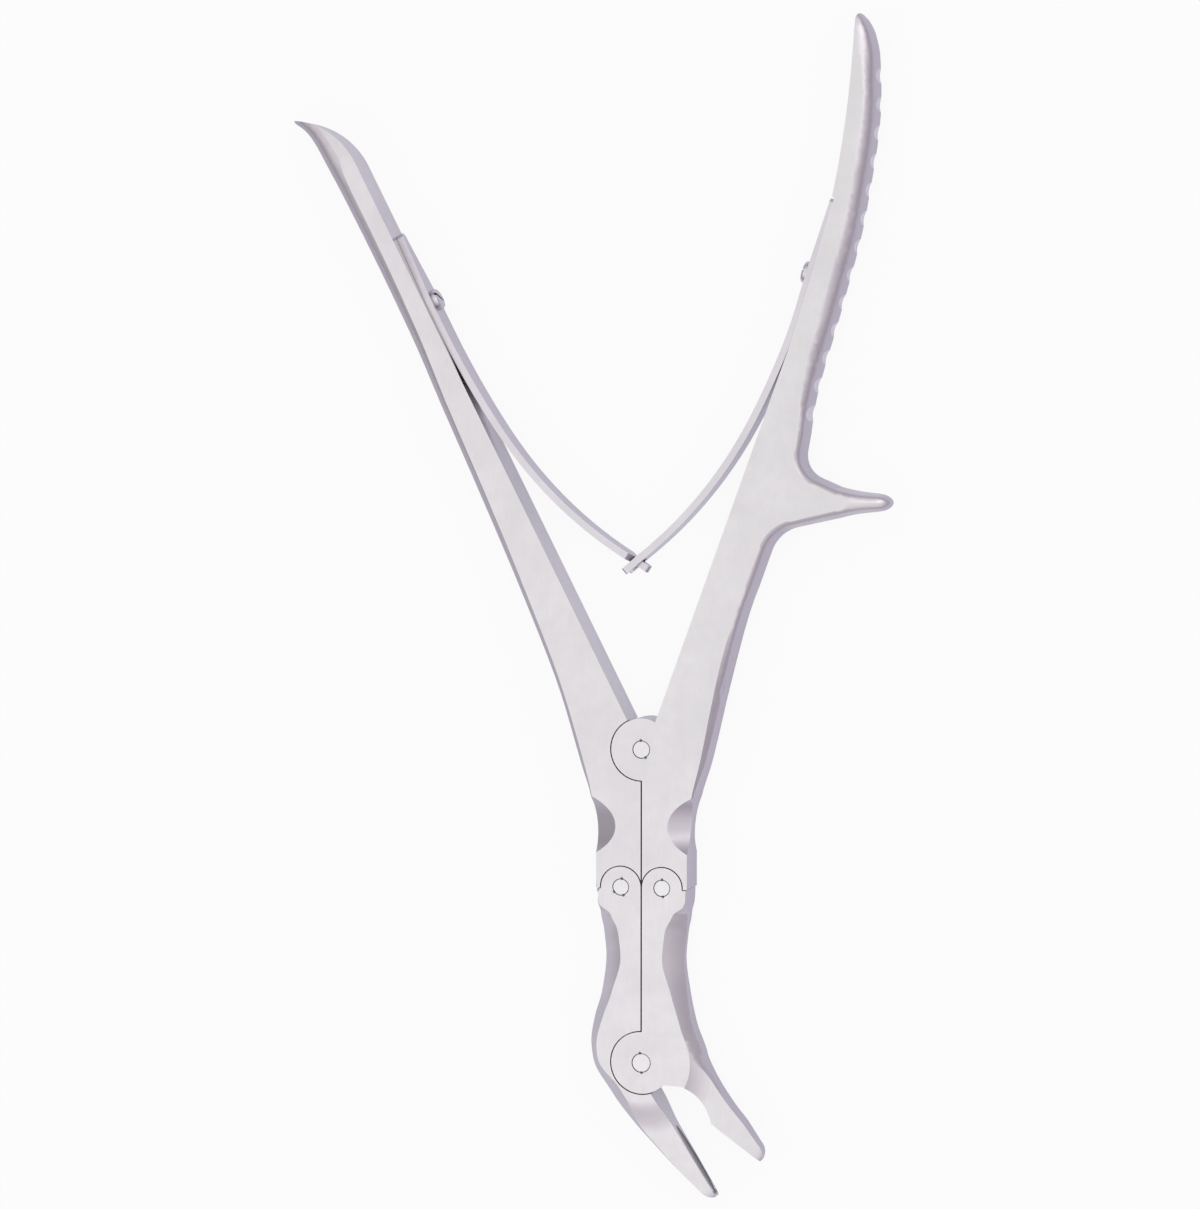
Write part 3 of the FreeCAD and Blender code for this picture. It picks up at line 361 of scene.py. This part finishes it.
def solid(name, bm):
    """New object with the shape of a closed mesh, its faces turned outwards."""
    outward(bm)
    mesh = bpy.data.meshes.new(name)
    bm.to_mesh(mesh)
    bm.free()
    return placed(name, mesh)


def outward(bm):
    """Turn the faces of a closed mesh so that they look outwards."""
    bmesh.ops.recalc_face_normals(bm, faces=bm.faces)
    if bm.calc_volume(signed=True) < 0:
        bmesh.ops.reverse_faces(bm, faces=bm.faces)


def copied(name, new_name):
    """New object with the closed shape of a node, its seams joined."""
    source = nodes[name]
    points = [source.matrix_world @ v.co for v in source.data.vertices]
    faces = [p.vertices[:] for p in source.data.polygons]
    mesh = bpy.data.meshes.new(new_name)
    mesh.from_pydata(points, [], faces)
    bm = bmesh.new()
    bm.from_mesh(mesh)
    bmesh.ops.remove_doubles(bm, verts=bm.verts, dist=WELD)
    bmesh.ops.recalc_face_normals(bm, faces=bm.faces)
    bm.to_mesh(mesh)
    bm.free()
    return placed(new_name, mesh)


def apply_modifiers(obj):
    """Replace an object's mesh by the result of its modifiers."""
    bpy.context.view_layer.update()
    made = bpy.data.meshes.new_from_object(obj.evaluated_get(bpy.context.evaluated_depsgraph_get()))
    obj.modifiers.clear()
    obj.data = made


def smoothed(obj):
    """Shade an object smooth, with sharp edges kept and the larger faces leading."""
    obj.data.shade_smooth()
    obj.data.set_sharp_from_angle(angle=SMOOTH_BELOW)
    weighted = obj.modifiers.new("weighted", "WEIGHTED_NORMAL")
    weighted.keep_sharp = True
    apply_modifiers(obj)


def combine(obj, other, operation):
    """Boolean of an object with a scratch object, which goes. It is done in millimetres, for its accuracy."""
    for one in (obj, other):
        one.data.transform(Matrix.Scale(1 / MM, 4))
    step = obj.modifiers.new("boolean", "BOOLEAN")
    step.operation = operation
    step.solver = "EXACT"
    step.object = other
    apply_modifiers(obj)
    obj.data.transform(Matrix.Scale(MM, 4))
    bpy.data.objects.remove(other)


def scallop_cutter(handle):
    """Row of upright cylinders that dip into the outer side of the grip, along its bend."""
    along = Vector((math.sin(RIGHT_LEAN), math.cos(RIGHT_LEAN), 0))
    out = Vector((along.y, -along.x, 0))
    middle = Vector((AXIS_OFFSET, 0, MIDDLE)) + along * BEND_START - out * BEND_RADIUS
    tree = BVHTree.FromObject(handle, bpy.context.evaluated_depsgraph_get())
    cutter = bmesh.new()
    for number in range(SCALLOP_COUNT):
        run = GRIP_END - BEND_START - SCALLOP_TOP - number * SCALLOP_PITCH
        turn = max(0.0, run) / (BEND_RADIUS + FLANK_DISTANCE)
        heading = out * math.cos(turn) + along * math.sin(turn)
        outside = middle + heading * (BEND_RADIUS + CAST_DISTANCE) + along * min(0.0, run)
        flank = tree.ray_cast(outside, -heading)[0]
        spot = flank + heading * (SCALLOP_RADIUS - SCALLOP_DEPTH)
        bmesh.ops.create_cone(
            cutter, cap_ends=True, segments=48, radius1=SCALLOP_RADIUS, radius2=SCALLOP_RADIUS,
            depth=FRONT * 1.5, matrix=Matrix.Translation(spot))
    return solid("scallop_cutter", cutter)


def scalloped_handle(ground, milled):
    """Right handle with its row of shallow hollows cut across the outer side of the grip."""
    handle = copied("right_handle", "right_handle_grip")
    cutter = scallop_cutter(handle)
    for one in (handle, cutter):
        one.data.materials.append(ground)
        one.data.materials.append(milled)
    for face in cutter.data.polygons:
        face.material_index = 1
    combine(handle, cutter, "DIFFERENCE")
    smoothed(handle)
    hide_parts("right_handle")
    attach(handle, "right_handle")


class Beak:
    """Place and sizes of one beak: its rim runs along from beside the jaw pivot, and its back lies out."""

    def __init__(self, lean, side, cut, shoulder, shoulder_width, cup_length):
        turn = math.radians(lean)
        self.along = Vector((math.sin(turn), math.cos(turn), 0))
        self.out = side * Vector((-self.along.y, self.along.x, 0))
        self.start = JAW_PIVOT - side * RIM_OFFSET * self.out + UP * MIDDLE
        self.cut = cut
        self.shoulder = shoulder
        self.shoulder_width = shoulder_width
        self.cup_length = cup_length
        self.cup_middle = self.spot(BEAK_LENGTH - CUP_MARGIN - cup_length / 2)

    def spot(self, run, width=0.0, height=0.0):
        return self.start + self.along * run + self.out * width + UP * height


def cut_beak(jaw, beak):
    """Cut the end of the beak off square, close it, and return the cut's outline as widths and heights."""
    bm = bmesh.new()
    bm.from_mesh(jaw.data)
    reach = 0.3 * BEAK_LENGTH
    beyond = [f for f in bm.faces if (f.calc_center_median() - beak.start).dot(beak.along) > reach]
    near = {v for f in beyond for v in f.verts} | {e for f in beyond for e in f.edges} | set(beyond)
    plane = beak.spot(beak.cut)
    made = bmesh.ops.bisect_plane(
        bm, geom=list(near), plane_co=plane, plane_no=beak.along, clear_outer=True, dist=TRIM)
    ring = [v.co for v in made["geom_cut"] if isinstance(v, bmesh.types.BMVert)]
    rim = [((spot - plane).dot(beak.out), spot.z - MIDDLE) for spot in ring]
    bmesh.ops.holes_fill(bm, edges=[e for e in bm.edges if e.is_boundary])
    outward(bm)
    bm.to_mesh(jaw.data)
    bm.free()
    return [rim[number] for number in convex_hull_2d(rim)]


def beak_tip(beak, outline):
    """Solid tip: the outline of the cut, tapered to the shoulder and rounded off beyond it."""
    wide = max(width for width, _ in outline)
    taper = beak.shoulder - beak.cut
    rounding = BEAK_LENGTH - beak.shoulder
    stations = [beak.cut - TIP_OVERLAP, beak.cut + 0.4 * taper, beak.shoulder]
    stations += [beak.shoulder + rounding * math.sin(math.radians(angle)) for angle in TIP_ANGLES]
    tip = bmesh.new()
    rings = []
    for run in stations:
        tapered = min(1.0, max(0.0, (run - beak.cut) / taper))
        past = max(0.0, (run - beak.shoulder) / rounding)
        width = wide + (beak.shoulder_width - wide) * tapered
        width *= (1 - TIP_NARROWING * past) * math.sqrt(1 - past * past)
        height = 1 - (1 - TIP_HEIGHT_SHARE) * max(0.0, (run - beak.cut) / (BEAK_LENGTH - beak.cut))
        height -= TIP_THINNING * past ** 4
        rings.append([tip.verts.new(beak.spot(run, w * width / wide, z * height)) for w, z in outline])
    for one, two in zip(rings, rings[1:]):
        for four in zip(one, one[1:] + one[:1], two[1:] + two[:1], two):
            tip.faces.new(four)
    tip.faces.new(rings[0])
    tip.faces.new(rings[-1])
    return solid("tip", tip)


def beak_cup(beak):
    """Long ellipsoid that sinks the cup into the rim."""
    cup = bmesh.new()
    bmesh.ops.create_uvsphere(cup, u_segments=48, v_segments=32, radius=1.0)
    axes = Matrix((beak.out * CUP_DEPTH, UP * CUP_HALF_WIDTH, beak.along * beak.cup_length / 2)).transposed()
    cup.transform(Matrix.Translation(beak.cup_middle) @ axes.to_4x4())
    return solid("cup", cup)


def paint_cup(jaw, beak):
    """Give the faces of the cup the second material, whose dark colour is painted shade."""
    for face in jaw.data.polygons:
        away = face.center - beak.cup_middle
        reach = Vector((away.dot(beak.out) / CUP_DEPTH, away.z / CUP_HALF_WIDTH,
                        2 * away.dot(beak.along) / beak.cup_length))
        face.material_index = 1 if reach.length < CUP_PAINT_REACH else 0


def tipped_jaw(name, beak, ground, cup_shade):
    """Jaw whose beak ends in a smoothly rounded tip, with the cup sunk into its rim."""
    jaw = copied(name, name + "_beak")
    tip = beak_tip(beak, cut_beak(jaw, beak))
    combine(tip, beak_cup(beak), "DIFFERENCE")
    combine(jaw, tip, "UNION")
    jaw.data.materials.append(ground)
    jaw.data.materials.append(cup_shade)
    paint_cup(jaw, beak)
    smoothed(jaw)
    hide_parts(name)
    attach(jaw, name)


def bending_leaf(name, bend):
    """Leaf spring copied from its node and sliced fine from its foot towards the crossing."""
    leaf = copied(name, name + "_leaf")
    way = CROSSING - bend
    towards = way.normalized()
    bm = bmesh.new()
    bm.from_mesh(leaf.data)
    for number in range(1, int(LEAF_SLICED_SHARE * way.length / LEAF_SLICE)):
        bmesh.ops.bisect_plane(
            bm, geom=bm.verts[:] + bm.edges[:] + bm.faces[:],
            plane_co=bend + towards * LEAF_SLICE * number, plane_no=towards, dist=TRIM)
    bm.to_mesh(leaf.data)
    bm.free()
    smoothed(leaf)
    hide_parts(name)
    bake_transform(leaf)
    return leaf


def pale_floor():
    """Pale floor just under the part, white to the camera but for the part's soft shadow."""
    low, high = -FLOOR_REACH, FLOOR_REACH
    mesh = bpy.data.meshes.new("floor")
    mesh.from_pydata([(low, low, 0), (high, low, 0), (high, high, 0), (low, high, 0)], [], [(0, 1, 2, 3)])
    floor = placed("floor", mesh)
    floor.location.z = -FLOOR_DROP
    paint = bpy.data.materials.new("floor_white")
    paint.use_nodes = True
    n = Nodes(paint.node_tree)
    ray = n.add("LightPath")
    mirrored = n.math("MAXIMUM", ray.outputs["Is Glossy Ray"], ray.outputs["Is Transmission Ray"])
    seen = n.math("ADD", n.times(ray.outputs["Is Camera Ray"], 0.9), n.times(mirrored, 0.6), clamp=True)
    matt = n.add("BsdfDiffuse", Color=(0.93, 0.925, 0.94, 1.0)).outputs[0]
    tint = n.mix(ray.outputs["Is Camera Ray"], (0.66, 0.64, 0.75, 1.0), (1.0, 1.0, 1.0, 1.0))
    glow = n.add("Emission", Color=tint, Strength=1.0).outputs[0]
    n.add("OutputMaterial", Surface=n.blend_shaders(seen, matt, glow))
    dress(floor, paint)


def soft_sky():
    """Sky that is white to the camera, and otherwise darker towards the horizon and on the left."""
    world = bpy.data.worlds.new("sky")
    world.use_nodes = True
    scene.world = world
    n = Nodes(world.node_tree)
    way = n.add("SeparateXYZ", Vector=n.add("TexCoord").outputs["Generated"])
    sky = n.add("ValToRGB", Fac=way.outputs[2])
    stops = sky.color_ramp.elements
    for height, _ in SKY_STOPS[1:-1]:
        stops.new(height)
    for stop, (height, color) in zip(stops, SKY_STOPS):
        stop.position = height
        stop.color = shaded(color)
    level = n.ramp(way.outputs[0], -1.0, -0.3, 0.8, 1.0)
    soft = n.add("Background", Color=sky.outputs[0], Strength=level).outputs[0]
    white = n.add("Background", Color=(1.0, 1.0, 1.0, 1.0), Strength=1.0).outputs[0]
    seen = n.add("LightPath").outputs["Is Camera Ray"]
    n.add("OutputWorld", Surface=n.blend_shaders(seen, soft, white))


def soft_lamps():
    """Two large soft lamps that look at the handle pivot."""
    for name, spot, size, power in LAMPS:
        lamp = bpy.data.lights.new(name, "AREA")
        lamp.shape = "SQUARE"
        lamp.size = size
        lamp.energy = power
        holder = placed(name, lamp)
        holder.location = spot
        holder.rotation_euler = (-Vector(spot)).to_track_quat("-Z", "Y").to_euler()


place_camera()
pale_floor()
soft_sky()
soft_lamps()

# Handles
scalloped_handle(
    steel("satin_right_handle", SATIN, 0.34, 0.17, RIGHT_LEAN, punched=True, flank=RIGHT_FLANK_SHADE, roll=0.985),
    steel("milled_scallops", (0.86, 0.85, 0.88), 0.3, 0.3, grain=0.6))
dress(nodes["left_handle"], steel(
    "satin_left_handle", SATIN, 0.34, 0.17, LEFT_LEAN, punched=True, flank=LEFT_FLANK_SHADE, side=-1, roll=0.985))

# Jaws
# Dark steel in the cups: painted shade in the hollows of the beaks
cup_shade_steel = steel("shaded_ground_cups", (0.36, 0.35, 0.37), 0.42, 0.42, grain=0.3, highlight_strength=0.0)
left_beak = Beak(
    lean=148.2, side=-1, cut=21.5 * MM, shoulder=28.0 * MM, shoulder_width=2.5 * MM, cup_length=15.6 * MM)
right_beak = Beak(
    lean=126.0, side=1, cut=24.0 * MM, shoulder=28.6 * MM, shoulder_width=2.75 * MM, cup_length=11.2 * MM)
tipped_jaw("left_jaw", left_beak, steel(
    "satin_left_jaw", SATIN, 0.33, 0.24, punched=True, flank=LEFT_FLANK_SHADE, side=-1), cup_shade_steel)
tipped_jaw("right_jaw", right_beak, steel(
    "satin_right_jaw", SATIN, 0.33, 0.24, punched=True, flank=RIGHT_FLANK_SHADE), cup_shade_steel)

# Pins and screws
pin_steel = steel("ground_pins", (0.80, 0.79, 0.80), 0.30, 0.2, 0.6, 0.7, punched=True)
for name in ("handle_pivot_pin", "left_link_pin", "right_link_pin", "jaw_pivot_pin"):
    dress(nodes[name], pin_steel)
screw_steel = steel("polished_screws", (0.70, 0.69, 0.71), 0.24, 0.2, 0.3, 0.6)
for name in ("left_spring_screw", "right_spring_screw"):
    dress(nodes[name], screw_steel)

# Leaf springs
leaf_steel = steel("polished_leaves", (0.70, 0.675, 0.71), 0.26, 0.18, 0.4, 0.3)
dress(bending_leaf("left_spring", LEFT_BEND), leaf_steel)
dress(bending_leaf("right_spring", RIGHT_BEND), leaf_steel)
